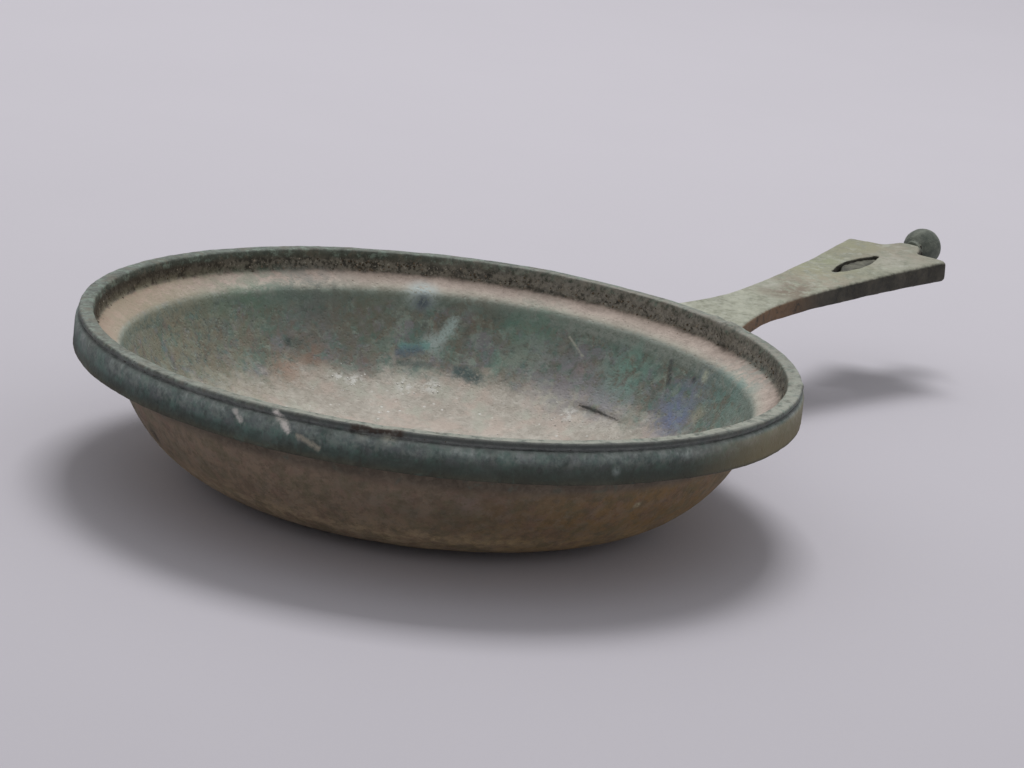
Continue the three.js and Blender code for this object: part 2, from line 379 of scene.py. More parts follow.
def bowl_stretches():
    """The turned profile in named stretches of (radius, drop), from the base round to the floor."""
    outer = Wall(RIM_RADIUS - RIM_OVERHANG, BASE_RADIUS, 0)
    inner_radius = RIM_RADIUS - RIM_OVERHANG - WALL_THICKNESS
    inner = Wall(inner_radius, BASE_RADIUS - WALL_THICKNESS, FLOOR_THICKNESS)
    rim = RIM_RADIUS
    lip = rim - LIP_SETBACK
    lip_in = lip - LIP_WIDTH
    under = BAND_BOTTOM_DROP + UNDERSIDE_DIP
    wall_end = outer.point(outer.angle_at(under + FILLET_SIZE))
    fillet_end = (rim - RIM_OVERHANG + FILLET_SIZE, under)
    edge = (rim, BAND_BOTTOM_DROP)
    edge_start = toward(edge, fillet_end, BAND_ROUNDING)
    face_start = (rim, BAND_BOTTOM_DROP - BAND_ROUNDING)
    shoulder = (rim, GROOVE_DROP + SHOULDER_HEIGHT)
    groove = (lip - GROOVE_DEPTH, GROOVE_DROP)
    lip_edge = (lip, GROOVE_DROP - GROOVE_RISE)
    ledge_out = (lip_in - LEDGE_DRAFT, LEDGE_DROP)
    width = ledge_out[0] - inner_radius
    ledge_in = (inner_radius, LEDGE_DROP + width * math.tan(LEDGE_SLOPE))
    wall_drop = ledge_in[1] + LEDGE_ROUNDING
    wall_top = inner.point(inner.angle_at(wall_drop))
    lip_down = (lip_in, LIP_ROUNDING)
    corner_start = toward(ledge_out, lip_down, LEDGE_CORNER)
    corner_end = toward(ledge_out, ledge_in, LEDGE_CORNER)
    crest_start = toward(ledge_in, ledge_out, LEDGE_ROUNDING)
    floor = PAN_HEIGHT - FLOOR_THICKNESS
    return {
        "base": line((0.01, PAN_HEIGHT), (BASE_RADIUS, PAN_HEIGHT), 6),
        "body": outer.below(under + FILLET_SIZE, 38)[::-1],
        "underside": np.vstack(
            [bend(wall_end, (wall_end[0], under), fillet_end, 8), line(fillet_end, edge_start, 6)]
        ),
        "band_edge": bend(edge_start, edge, face_start, 5),
        "band": line(face_start, shoulder, 8),
        "shoulder": bend(shoulder, (rim, GROOVE_DROP), groove, 8),
        "groove": line(groove, lip_edge, 3),
        "lip_outside": bend(lip_edge, (lip, 0), (lip - LIP_ROUNDING, 0), 6),
        "lip": line((lip - LIP_ROUNDING, 0), (lip_in + LIP_ROUNDING, 0), 4),
        "lip_inside": bend((lip_in + LIP_ROUNDING, 0), (lip_in, 0), lip_down, 6),
        "rim_inside": line(lip_down, corner_start, 9),
        "ledge_corner": bend(corner_start, ledge_out, corner_end, 4),
        "ledge": line(corner_end, crest_start, 8),
        "ledge_edge": bend(crest_start, ledge_in, wall_top, 6),
        "inner_wall": inner.below(wall_drop, 44),
        "floor": line((BASE_RADIUS - WALL_THICKNESS, floor), (0.01, floor), 22),
    }


class Profile:
    """The profile's points as radius and height, their outward directions and their stations."""

    def __init__(self, stretches):
        points = []
        self.ends = {}
        for name, part in stretches.items():
            first = len(points) - 1 if points else 0
            points.extend(part[1:] if points else part)
            self.ends[name] = (first, len(points) - 1)
        points = np.array(points)
        self.radius = points[:, 0]
        self.height = PAN_HEIGHT - points[:, 1]
        steps = np.hypot(np.diff(self.radius), np.diff(self.height))
        self.station = np.r_[0, np.cumsum(steps)]
        out = np.c_[np.gradient(self.height, self.station), -np.gradient(self.radius, self.station)]
        self.out = out / np.linalg.norm(out, axis=1)[:, None]

    def at(self, stretch, share):
        """The station, in millimetres, at a share of the way along a stretch."""
        start, end = (self.station[i] for i in self.ends[stretch])
        return start + (end - start) * share

    def spot(self, station, angle):
        """A place on the turned surface and the direction outward from it."""
        radius = np.interp(station, self.station, self.radius)
        height = np.interp(station, self.station, self.height)
        out_r = np.interp(station, self.station, self.out[:, 0])
        out_z = np.interp(station, self.station, self.out[:, 1])
        c, s = math.cos(angle), math.sin(angle)
        return Vector((radius * c, radius * s, height)), Vector((out_r * c, out_r * s, out_z)).normalized()


profile = Profile(bowl_stretches())


def wobble(place, size, seed):
    """Smooth noise from -1 to 1 with features about size millimetres across."""
    return noise.noise(place / size + Vector((seed * 7.1, seed * 3.7, seed * 11.3)))


def skin(place, waves):
    """The push of an uneven surface: each wave has a size, a height and a seed."""
    return sum(high * wobble(place, wide, seed) for wide, high, seed in waves)


def from_line(place, points):
    """The distance from a place to a chain of points."""
    best = math.inf
    for start, end in zip(points, points[1:]):
        start, along = Vector(start), Vector(end) - Vector(start)
        share = min(max((place - start).dot(along) / along.length_squared, 0), 1)
        best = min(best, (place - start - along * share).length)
    return best


def mesh_object(name, vertices, faces, material):
    mesh = bpy.data.meshes.new(name)
    mesh.from_pydata(vertices, [], faces)
    mesh.polygons.foreach_set("use_smooth", [True] * len(mesh.polygons))
    mesh.materials.append(material)
    mesh.update()
    made = bpy.data.objects.new(name, mesh)
    scene.collection.objects.link(made)
    return made


def point_values(mesh, name, values):
    mesh.attributes.new(name, "FLOAT", "POINT").data.foreach_set("value", np.array(values, np.float32))


def settle(piece, slot, *nodes):
    """Joins a piece to the part: it rides on the body and may stand for CAD nodes, which it hides. The slot is
    not used.
    """
    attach(piece, "root")
    if nodes:
        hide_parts(*nodes)


def bowl_push(place, grain, settled):
    """How far the bowl's surface stands out at a place."""
    push = skin(place, ((24, 0.12, 1), (7, 0.07, 2), (3.2, 0.6 * grain, 3), (1.8, grain, 4)))
    for centre, wide, high in DENTS:
        gap = (place - Vector(centre)).length / wide
        if gap < 3:
            push += high * math.exp(-(gap**2)) * (1 + 0.5 * wobble(place, 1.1, 5))
    if (place - Vector(CRACK[1])).length < 14:
        gap = from_line(place, CRACK) / CRACK_REACH
        step = 0.45 if place.xy.length > CRACK_RADIUS else -0.15
        push += step * math.exp(-(gap**2))
    return push * settled


def bowl_mesh(material):
    middles = [(profile.at(name, 0.5), high) for name, high in GRAIN_HEIGHT.items()]
    grain = np.interp(profile.station, *zip(*middles))
    settled = np.clip((profile.station - profile.at("base", 0.9)) / 6, 0, 1)
    turns = [2 * math.pi * j / BOWL_FACETS for j in range(BOWL_FACETS)]
    ring = [(math.cos(a), math.sin(a)) for a in turns]
    vertices = []
    for i, (radius, height) in enumerate(zip(profile.radius, profile.height)):
        out_r, out_z = profile.out[i]
        for c, s in ring:
            push = bowl_push(Vector((radius * c, radius * s, height)), grain[i], settled[i])
            r = radius + out_r * push
            vertices.append((r * c * MM, r * s * MM, max(height + out_z * push, 0) * MM))
    rows = len(profile.radius)
    faces = []
    for i in range(rows - 1):
        for j in range(BOWL_FACETS):
            k = (j + 1) % BOWL_FACETS
            a, b = i * BOWL_FACETS, (i + 1) * BOWL_FACETS
            faces.append((a + j, a + k, b + k, b + j))
    faces.append(tuple(reversed(range(BOWL_FACETS))))
    faces.append(tuple(range((rows - 1) * BOWL_FACETS, rows * BOWL_FACETS)))
    bowl = mesh_object("bowl_aged", vertices, faces, material)
    point_values(bowl.data, "station", np.repeat(profile.station, BOWL_FACETS))
    return bowl


# Tones along the profile: stretch, share of it, dark tone and light tone. Some rows hold painted light and
# shade, as noted at them.
BOWL_TONES_WITH_PAINTED_LIGHT = (
    ("base", 0.0, (0.090, 0.074, 0.056), (0.170, 0.142, 0.110)),
    ("body", 0.10, (0.200, 0.155, 0.105), (0.340, 0.265, 0.185)),
    # Painted bounce light: the body 0.54 row is lightened and warmed to stand in for light thrown up from
    # below.
    ("body", 0.54, (0.450, 0.340, 0.198), (0.740, 0.572, 0.350)),
    ("body", 0.65, (0.150, 0.112, 0.069), (0.275, 0.210, 0.133)),
    ("body", 0.74, (0.090, 0.070, 0.047), (0.172, 0.136, 0.093)),
    ("body", 0.92, (0.110, 0.088, 0.066), (0.215, 0.172, 0.130)),
    ("underside", 0.6, (0.065, 0.055, 0.040), (0.130, 0.110, 0.082)),
    # Painted shade and highlight: over the band's patina these rows darken towards its lower edge and lighten
    # towards its top.
    ("band", 0.08, (0.040, 0.040, 0.029), (0.092, 0.092, 0.068)),
    ("band", 0.24, (0.036, 0.045, 0.039), (0.084, 0.100, 0.088)),
    ("band", 0.66, (0.045, 0.061, 0.057), (0.115, 0.140, 0.132)),
    ("band", 0.95, (0.082, 0.105, 0.101), (0.205, 0.242, 0.230)),
    # The pale shoulder rows are partly pale patina and partly a painted highlight where the shoulder catches
    # the light.
    ("shoulder", 0.30, (0.125, 0.155, 0.148), (0.350, 0.392, 0.372)),
    ("shoulder", 0.60, (0.125, 0.150, 0.144), (0.350, 0.385, 0.368)),
    ("shoulder", 0.85, (0.110, 0.120, 0.118), (0.270, 0.285, 0.280)),
    # The groove row is lightened to offset the shade in the groove, which is painted light. The dark
    # lip_outside row at 0.2 is partly dark patina and partly painted shade on the lip's outer face.
    ("groove", 0.3, (0.104, 0.110, 0.108), (0.250, 0.262, 0.256)),
    ("lip_outside", 0.2, (0.060, 0.068, 0.064), (0.150, 0.160, 0.152)),
    ("lip_outside", 0.8, (0.105, 0.122, 0.112), (0.275, 0.300, 0.275)),
    ("lip", 0.45, (0.088, 0.104, 0.092), (0.220, 0.244, 0.220)),
    ("lip", 1.0, (0.085, 0.100, 0.086), (0.205, 0.228, 0.202)),
    ("lip_inside", 0.7, (0.062, 0.074, 0.063), (0.165, 0.184, 0.158)),
    ("rim_inside", 0.16, (0.028, 0.035, 0.027), (0.090, 0.098, 0.079)),
    ("rim_inside", 0.45, (0.030, 0.030, 0.023), (0.110, 0.104, 0.084)),
    ("ledge_corner", 0.40, (0.062, 0.052, 0.040), (0.190, 0.156, 0.120)),
    ("ledge", 0.10, (0.280, 0.222, 0.190), (0.435, 0.355, 0.310)),
    ("ledge", 0.6, (0.390, 0.320, 0.280), (0.550, 0.464, 0.408)),
    ("ledge_edge", 0.2, (0.360, 0.330, 0.280), (0.510, 0.482, 0.415)),
    ("ledge_edge", 0.95, (0.195, 0.228, 0.198), (0.345, 0.385, 0.340)),
    ("inner_wall", 0.03, (0.110, 0.145, 0.125), (0.220, 0.272, 0.242)),
    ("inner_wall", 0.10, (0.105, 0.128, 0.112), (0.212, 0.242, 0.216)),
    ("inner_wall", 0.4, (0.150, 0.154, 0.142), (0.280, 0.290, 0.268)),
    ("floor", 1.0, (0.160, 0.155, 0.140), (0.300, 0.290, 0.265)),
)

# Spots of corrosion: centre, radius, stretch of the space, share and tone
INNER_SPOTS = (
    # Broad tints of the inner wall, from the left round to the right
    ((-14.0, 56.0, 17.0), 26.0, (1, 1, 1), 0.55, (0.300, 0.275, 0.195)),
    ((18.0, 56.0, 21.8), 8.0, (0.6, 0.6, 2.0), 0.50, (0.095, 0.220, 0.165)),
    ((26.0, 52.0, 20.0), 8.0, (1, 1, 1), 0.50, (0.195, 0.180, 0.190)),
    ((34.0, 46.0, 18.0), 7.0, (1, 1, 1), 0.50, (0.160, 0.155, 0.110)),
    ((50.0, 30.0, 20.0), 4.5, (1, 1, 1), 0.60, (0.165, 0.140, 0.110)),
    ((55.0, 18.0, 19.8), 6.0, (1, 1, 1.3), 0.55, (0.130, 0.240, 0.190)),
    ((52.8, 16.3, 14.1), 4.5, (1, 1, 1), 0.60, (0.290, 0.340, 0.290)),
    ((53.0, 6.0, 11.5), 6.0, (0.8, 0.8, 1), 0.75, (0.275, 0.260, 0.290)),
    ((52.1, -4.5, 10.2), 4.5, (1, 1, 1), 0.70, (0.290, 0.275, 0.310)),
    ((56.2, -5.5, 16.3), 5.0, (1, 1, 1), 0.85, (0.205, 0.350, 0.300)),
    ((49.8, -21.0, 13.2), 4.6, (1, 1, 0.8), 0.80, (0.185, 0.215, 0.330)),
    ((49.0, -21.8, 11.8), 2.6, (1, 1, 0.8), 0.45, (0.190, 0.235, 0.400)),
    ((52.0, -26.0, 19.0), 4.0, (1, 1, 1), 0.50, (0.200, 0.240, 0.290)),
    ((46.5, -36.5, 20.5), 6.5, (0.7, 0.7, 1.2), 0.70, (0.165, 0.280, 0.260)),
    ((41.0, -41.0, 18.0), 5.0, (1, 1, 1), 0.50, (0.290, 0.320, 0.285)),
    # Small spots
    ((43.5, 34.0, 14.1), 1.9, (1, 1, 1), 0.85, (0.420, 0.500, 0.490)),
    ((44.8, 38.9, 23.2), 2.6, (1, 1, 1), 1.00, (0.480, 0.550, 0.550)),
    ((44.4, 38.3, 21.4), 1.6, (1, 1, 1), 0.90, (0.065, 0.085, 0.110)),
    ((48.0, -27.6, 14.4), 1.6, (1, 1, 0.8), 0.55, (0.400, 0.380, 0.270)),
    ((52.8, -25.2, 20.9), 0.8, (1, 1, 0.7), 0.80, (0.540, 0.570, 0.450)),
    ((53.4, -22.4, 19.4), 0.6, (1, 1, 1), 0.80, (0.040, 0.050, 0.060)),
    ((55.3, 4.9, 14.5), 1.5, (1, 1, 1), 0.35, (0.330, 0.240, 0.200)),
    ((19.0, 51.3, 13.4), 1.0, (1, 1, 1), 0.80, (0.050, 0.078, 0.074)),
    ((20.9, 50.6, 13.3), 0.9, (1, 1, 1), 0.60, (0.080, 0.130, 0.120)),
    ((22.7, 47.5, 10.9), 3.2, (1, 1, 1), 0.60, (0.285, 0.180, 0.132)),
    ((16.0, 48.3, 9.0), 3.4, (1, 1, 1), 0.60, (0.400, 0.265, 0.205)),
    ((10.4, 54.3, 14.2), 1.8, (1, 1, 1), 0.30, (0.290, 0.200, 0.165)),
    ((31.0, 41.0, 9.4), 2.6, (1, 1, 1), 0.40, (0.200, 0.145, 0.125)),
)
OUTER_SPOTS = (
    # Patches under the lip's bare stretch, dots on band and body, and a dark dent in the body
    ((-60.5, -29.9, 28.1), 0.9, (1, 1, 1), 0.70, (0.330, 0.350, 0.315)),
    ((-57.8, -33.7, 28.3), 1.1, (1, 1, 1), 0.80, (0.430, 0.430, 0.370)),
    ((-29.5, -61.2, 25.2), 0.7, (1, 1, 1), 0.60, (0.260, 0.290, 0.280)),
    ((-13.0, -55.7, 14.7), 0.6, (1, 1, 1), 0.80, (0.450, 0.400, 0.270)),
    ((-41.4, -39.9, 15.3), 2.0, (1, 1, 1), 0.45, (0.290, 0.215, 0.190)),
    ((-49.0, 25.4, 11.6), 1.3, (1, 1, 0.7), 0.80, (0.040, 0.042, 0.034)),
)
COARSE_SPOT = 3.0

# Thin marks: points, half width, share and tone
MARKS = (
    # Chips, a scuff and a bare stretch on the rim
    (((-67.3, -7.6, 27.7), (-67.3, -8.9, 26.4)), 0.50, 0.85, (0.520, 0.500, 0.470)),
    (((-65.7, -15.2, 29.1), (-65.5, -16.8, 27.9), (-65.5, -17.8, 26.7)), 0.60, 1.00, (0.680, 0.640, 0.600)),
    (((-64.9, -19.8, 26.1), (-63.7, -23.4, 24.8)), 0.50, 0.70, (0.360, 0.330, 0.265)),
    (((-61.0, -28.6, 29.2), (-59.2, -32.0, 29.5), (-57.3, -35.2, 29.5)), 0.90, 0.95, (0.050, 0.035, 0.027)),
    # On the inner wall: pale runs, blue and turquoise bands, a dark seam and two scratches
    (((47.3, 32.2, 18.6), (46.5, 32.6, 16.9), (45.0, 33.2, 15.0)), 1.10, 0.90, (0.390, 0.485, 0.470)),
    (((42.4, 34.7, 13.6), (38.9, 37.9, 13.0)), 0.90, 0.90, (0.190, 0.350, 0.330)),
    (((41.0, 35.7, 12.8), (38.1, 37.9, 11.9)), 1.10, 0.75, (0.110, 0.160, 0.205)),
    (((45.3, 23.6, 9.1), (44.1, 27.0, 9.75)), 1.40, 0.85, (0.070, 0.110, 0.112)),
    (((41.2, 32.6, 9.9), (37.0, 36.8, 10.1)), 0.80, 0.60, (0.095, 0.130, 0.125)),
    (((50.4, 22.8, 13.8), (48.4, 21.3, 10.9)), 0.90, 0.50, (0.190, 0.330, 0.280)),
    (((56.6, -14.6, 20.7), (55.3, -15.4, 18.4), (54.4, -15.9, 16.8)), 0.60, 0.70, (0.060, 0.066, 0.070)),
    (((57.0, 10.2, 19.4), (56.3, 6.2, 16.6)), 0.24, 0.75, (0.460, 0.460, 0.400)),
    (((56.8, 8.9, 17.6), (56.2, 7.6, 16.0)), 0.30, 0.60, (0.090, 0.085, 0.080)),
)

# Clouds of the inner wall: size, seed, share and tone
TEAL = (0.125, 0.215, 0.185)
LILAC_GREY = (0.240, 0.230, 0.255)
BROWN_GREY = (0.190, 0.160, 0.125)
PALE_GREEN = (0.300, 0.360, 0.310)
CLOUDS = (
    (10, 32, 0.70, TEAL),
    (6, 33, 0.70, LILAC_GREY),
    (5, 34, 0.70, BROWN_GREY),
    (3, 35, 0.55, PALE_GREEN),
    (2.2, 36, 0.50, TEAL),
    (3.2, 37, 0.45, BROWN_GREY),
)
CHALK = (0.700, 0.690, 0.655)
DUST_DARK = (0.385, 0.345, 0.296)
DUST_LIGHT = (0.610, 0.570, 0.510)


def rim_soil(g, colour, run):
    """Brown and black soil with pale grains, low on the rim's inner side."""
    edge = g.plus(run, g.centred(g.noise(1.4, seed=22, detail=5, rough=0.7), 3.2))
    zone = g.zone(edge, profile.at("rim_inside", 0.45), profile.at("ledge_corner", 0.6), 0.6)
    lumps = g.plus(g.noise(1.7, seed=21, detail=3), g.centred(g.noise(0.7, seed=24, detail=3, rough=0.7), 0.9))
    soil = g.mix(g.span(lumps, 0.38, 0.62), (0.026, 0.025, 0.020), (0.188, 0.172, 0.140))
    colour = g.mix(g.times(zone, 0.85), colour, soil)
    pale = g.span(g.noise(0.6, seed=23, detail=2), 0.61, 0.69)
    return g.mix(g.times(zone, pale, 0.6), colour, (0.380, 0.350, 0.300))
def wall_mottle(g, colour, run):
    """Teal, lilac-grey and brown clouds and streaks on the inner wall."""
    edge = g.plus(run, g.centred(g.noise(3.2, seed=38, detail=5, rough=0.65), 5))
    wall = g.zone(edge, profile.at("inner_wall", 0.06), profile.at("inner_wall", 0.6), 1.2)
    streaks = g.centred(g.noise(2.0, seed=31, detail=4, rough=0.65, at=g.downhill(run)), 0.6)
    for size, seed, share, tone in CLOUDS:
        cloud = g.plus(g.noise(size, seed, 6, 0.68, 0.5), g.times(streaks, 0.6))
        colour = g.mix(g.times(wall, g.span(cloud, 0.49, 0.59), share), colour, tone)
    return colour


def band_mottle(g, colour, run):
    """Soft teal, pale, lilac and dark patches and short streaks on the band."""
    streaks = g.centred(g.noise(0.9, seed=81, detail=4, rough=0.65, at=g.downhill(run)), 0.9)
    for size, seed, share, low, tone in BAND_CLOUDS:
        band = g.zone(run, profile.at("band", low), profile.at("shoulder", 0.7), 0.6)
        cloud = g.plus(g.noise(size, seed, 6, 0.70, 0.4), g.times(streaks, 0.5))
        colour = g.mix(g.times(band, g.span(cloud, 0.44, 0.64), share), colour, tone)
    return colour
BAND_CLOUDS = (
    (4, 82, 0.45, 0.12, (0.060, 0.106, 0.092)),
    (3, 84, 0.45, 0.12, (0.040, 0.046, 0.040)),
    (3.5, 86, 0.50, 0.50, (0.112, 0.202, 0.168)),
    (2.6, 83, 0.40, 0.55, (0.155, 0.148, 0.165)),
    (1.8, 85, 0.35, 0.72, (0.300, 0.330, 0.295)),
)


def lip_mottle(g, colour, run):
    """Pale green, brown and dark flecks on the lip."""
    lip = g.zone(run, profile.at("lip_outside", 0.2), profile.at("rim_inside", 0.35), 0.4)
    for size, seed, share, tone in LIP_CLOUDS:
        cloud = g.span(g.noise(size, seed, detail=5, rough=0.70), 0.50, 0.62)
        colour = g.mix(g.times(lip, cloud, share), colour, tone)
    return colour
LIP_CLOUDS = (
    (2.0, 91, 0.50, (0.255, 0.330, 0.275)),
    (1.4, 92, 0.50, (0.060, 0.066, 0.052)),
    (2.6, 93, 0.40, (0.170, 0.140, 0.105)),
)


def spots(g, colour, run):
    """Patches of corrosion with ragged edges, on the inner and on the outer side of the wall."""
    coarse = g.span(g.noise(2.6, seed=40, detail=6, rough=0.70, warp=0.6), 0.38, 0.58)
    fine = g.span(g.noise(0.8, seed=41, detail=4, rough=0.7, warp=0.5), 0.32, 0.52)
    inside = g.span(run, profile.at("rim_inside", 0.5), profile.at("ledge_corner", 0.5))
    outside = g.span(run, profile.at("lip", 1.0), profile.at("lip", 0.0))
    for side, table in ((inside, INNER_SPOTS), (outside, OUTER_SPOTS)):
        for centre, radius, stretch, share, tone in table:
            ragged = coarse if radius > COARSE_SPOT else fine
            spot = g.times(g.near(centre, radius, 0.85, stretch), ragged, side, share)
            colour = g.mix(spot, colour, tone)
    return colour


def marks(g, colour):
    """Thin marks along chains of points, ragged and broken."""
    ragged = g.centred(g.noise(1.1, seed=71, detail=5, rough=0.7), 2.4)
    broken = g.span(g.noise(0.6, seed=75, detail=3), 0.36, 0.52, 0.5, 1.0)
    for points, width, share, tone in MARKS:
        gap = g.plus(g.from_chain(points), g.times(ragged, width))
        colour = g.mix(g.times(g.span(gap, width * 1.6, width * 0.3), broken, share), colour, tone)
    return colour


def floor_dust(g, colour, run, share):
    """Pink-beige dust that lies on the floor and thins out up the wall."""
    edge = g.plus(run, g.centred(g.noise(10, seed=51, detail=6, rough=0.62), 16))
    edge = g.plus(edge, g.centred(g.noise(1.8, seed=52, detail=4, rough=0.7), 8))
    lies = g.span(edge, profile.at("inner_wall", 0.34), profile.at("inner_wall", 0.52))
    tone = g.mix(share, DUST_DARK, DUST_LIGHT)
    warm = g.span(g.noise(6, seed=53, detail=5, rough=0.60), 0.46, 0.62)
    tone = g.mix(g.times(warm, 0.60), tone, (0.560, 0.455, 0.395))
    green = g.span(g.noise(6, seed=54, detail=5, rough=0.60), 0.48, 0.64)
    tone = g.mix(g.times(green, 0.60), tone, (0.480, 0.490, 0.415))
    dull = g.span(g.noise(2.2, seed=55, detail=4, rough=0.65), 0.54, 0.66)
    tone = g.mix(g.times(dull, 0.35), tone, (0.350, 0.315, 0.272))
    return g.mix(g.times(lies, 0.92), colour, tone)


def chalk_specks(g, colour, run):
    """Single bright specks on the floor, and a few clusters of them."""
    distance, pick = g.cells(2.2, seed=61)
    speck = g.times(g.span(distance, 0.17, 0.08), g.span(pick, 0.40, 0.50))
    lies = g.span(run, profile.at("inner_wall", 0.42), profile.at("inner_wall", 0.75))
    colour = g.mix(g.times(speck, lies, 0.85), colour, CHALK)
    grains = g.span(g.noise(1.2, seed=63, detail=3, rough=0.6), 0.43, 0.57)
    for (x, y), spread, height in CHALK_PATCHES:
        patch = g.times(g.near((x, y, height), spread, 0.8), grains, 0.80)
        colour = g.mix(patch, colour, CHALK)
    return colour
CHALK_PATCHES = (
    ((27.2, 40.1), 1.6, 6.9),
    ((34.8, 33.3), 1.7, 6.7),
    ((38.5, 29.5), 1.6, 7.0),
    ((25.0, 42.5), 1.2, 7.6),
    ((47.9, 2.2), 1.6, 7.0),
)


def crack_painted_shade(g, colour):
    """A dark line of painted shade in the crack's gap, thinning out to both ends."""
    gap = g.plus(g.from_chain(CRACK), g.centred(g.noise(1.2, seed=62, detail=5, rough=0.7), 0.9))
    along = g.node("ShaderNodeSeparateXYZ", {0: g.place}).outputs["Y"]
    start, widest, end = CRACK[0][1], CRACK[1][1], CRACK[-1][1]
    width = g.times(g.span(along, end, widest, 0.12, 0.34), g.span(along, start + 0.3, widest, 0.15, 1.0))
    dark = g.span(g.math("DIVIDE", gap, width), 1.9, 0.3)
    return g.mix(g.times(dark, 0.85), colour, (0.025, 0.026, 0.024))


def rim_tints_and_painted_light(g, colour, run):
    """At the front the lip is rubbed pale, and its outer edge and the band's face are darkened there with
    painted shade; a warm tint on the band at the right is painted bounce light; the left of the ledge is sandy.
    """
    patchy = g.noise(2.2, seed=72, detail=6, rough=0.68)
    top = g.zone(run, profile.at("lip_outside", 0.62), profile.at("lip_inside", 0.5), 0.25)
    front = g.near((-25, -60, 29.8), 80, 0.5)
    right = g.times(g.near((60, -26, 29.8), 40, 0.5), 0.4)
    rubbed = g.times(top, g.math("MAXIMUM", front, right), g.span(patchy, 0.34, 0.56))
    colour = g.mix(g.times(rubbed, 0.75), colour, (0.385, 0.390, 0.335))
    # Painted shade: the lip's outer edge is darkened at the front, where it faces away from the light.
    edge = g.zone(run, profile.at("lip_outside", 0.1), profile.at("lip", 0.08), 0.2)
    colour = g.mix(g.times(edge, g.near((-42, -50, 29.3), 46, 0.5), 0.80), colour, (0.056, 0.060, 0.060))
    # Painted shade: the band's face is darkened at the front.
    face = g.zone(run, profile.at("band", 0.0), profile.at("band", 0.90), 0.9)
    painted_band_shade = g.times(face, g.near((-25, -62, 26), 45, 0.5))
    colour = g.mix(g.times(painted_band_shade, 0.50), colour, (0.044, 0.048, 0.037))
    # Painted bounce light: a warm tint on the band at the right stands in for warm light thrown back onto it.
    band = g.zone(run, profile.at("band", 0.0), profile.at("shoulder", 0.5), 0.5)
    warm = g.times(band, g.near((20, -66, 25), 24, 0.6))
    colour = g.mix(g.times(warm, 0.60), colour, (0.262, 0.212, 0.115))
    ledge = g.zone(run, profile.at("ledge_corner", 0.7), profile.at("ledge_edge", 0.3), 0.4)
    sandy = g.times(ledge, g.near((-35, 55, 25), 32, 0.6))
    return g.mix(g.times(sandy, 0.50), colour, (0.390, 0.280, 0.195))


def rim_haze(g, colour, run):
    """Grey-brown crust on the rim beside the handle, dark soil at the left, and a pale top of the wall."""
    patchy = g.noise(1.1, seed=76, detail=6, rough=0.70)
    rim = g.zone(run, profile.at("lip", 0.5), profile.at("ledge_corner", 0.3), 0.5)
    rough = g.times(rim, g.near((60, -10, 28), 40, 0.6), g.span(patchy, 0.36, 0.60))
    colour = g.mix(g.times(rough, 0.72), colour, (0.295, 0.272, 0.240))
    soil = g.zone(run, profile.at("rim_inside", 0.3), profile.at("ledge_corner", 0.5), 0.5)
    dark = g.times(soil, g.near((-34, 54, 27), 44, 0.6))
    colour = g.mix(g.times(dark, 0.75), colour, (0.036, 0.025, 0.014))
    crest = g.zone(run, profile.at("ledge_edge", 0.6), profile.at("inner_wall", 0.06), 0.6)
    pale = g.times(crest, g.near((56, -14, 22), 34, 0.5), g.span(patchy, 0.34, 0.58))
    return g.mix(g.times(pale, 0.80), colour, (0.300, 0.328, 0.300))


def body_tints(g, colour, run):
    """Olive, rust and pinkish patches on the body, lighter to the left and browner to the right."""
    body = g.span(run, profile.at("body", 0.97), profile.at("body", 0.90))
    colour = g.mix(g.times(body, g.near((-56, -2, 14), 34, 0.7), 0.60), colour, (0.345, 0.255, 0.180))
    colour = g.mix(g.times(body, g.near((-2, -57, 12), 34, 0.7), 0.70), colour, (0.275, 0.165, 0.062))
    for size, seed, share, tone in BODY_CLOUDS:
        cloud = g.span(g.noise(size, seed, detail=6, rough=0.70), 0.47, 0.61)
        colour = g.mix(g.times(body, cloud, share), colour, tone)
    return colour
BODY_CLOUDS = (
    (4.5, 73, 0.45, (0.215, 0.135, 0.105)),
    (4.0, 74, 0.50, (0.135, 0.130, 0.078)),
    (2.4, 75, 0.35, (0.250, 0.205, 0.160)),
    (2.0, 77, 0.35, (0.085, 0.078, 0.052)),
)


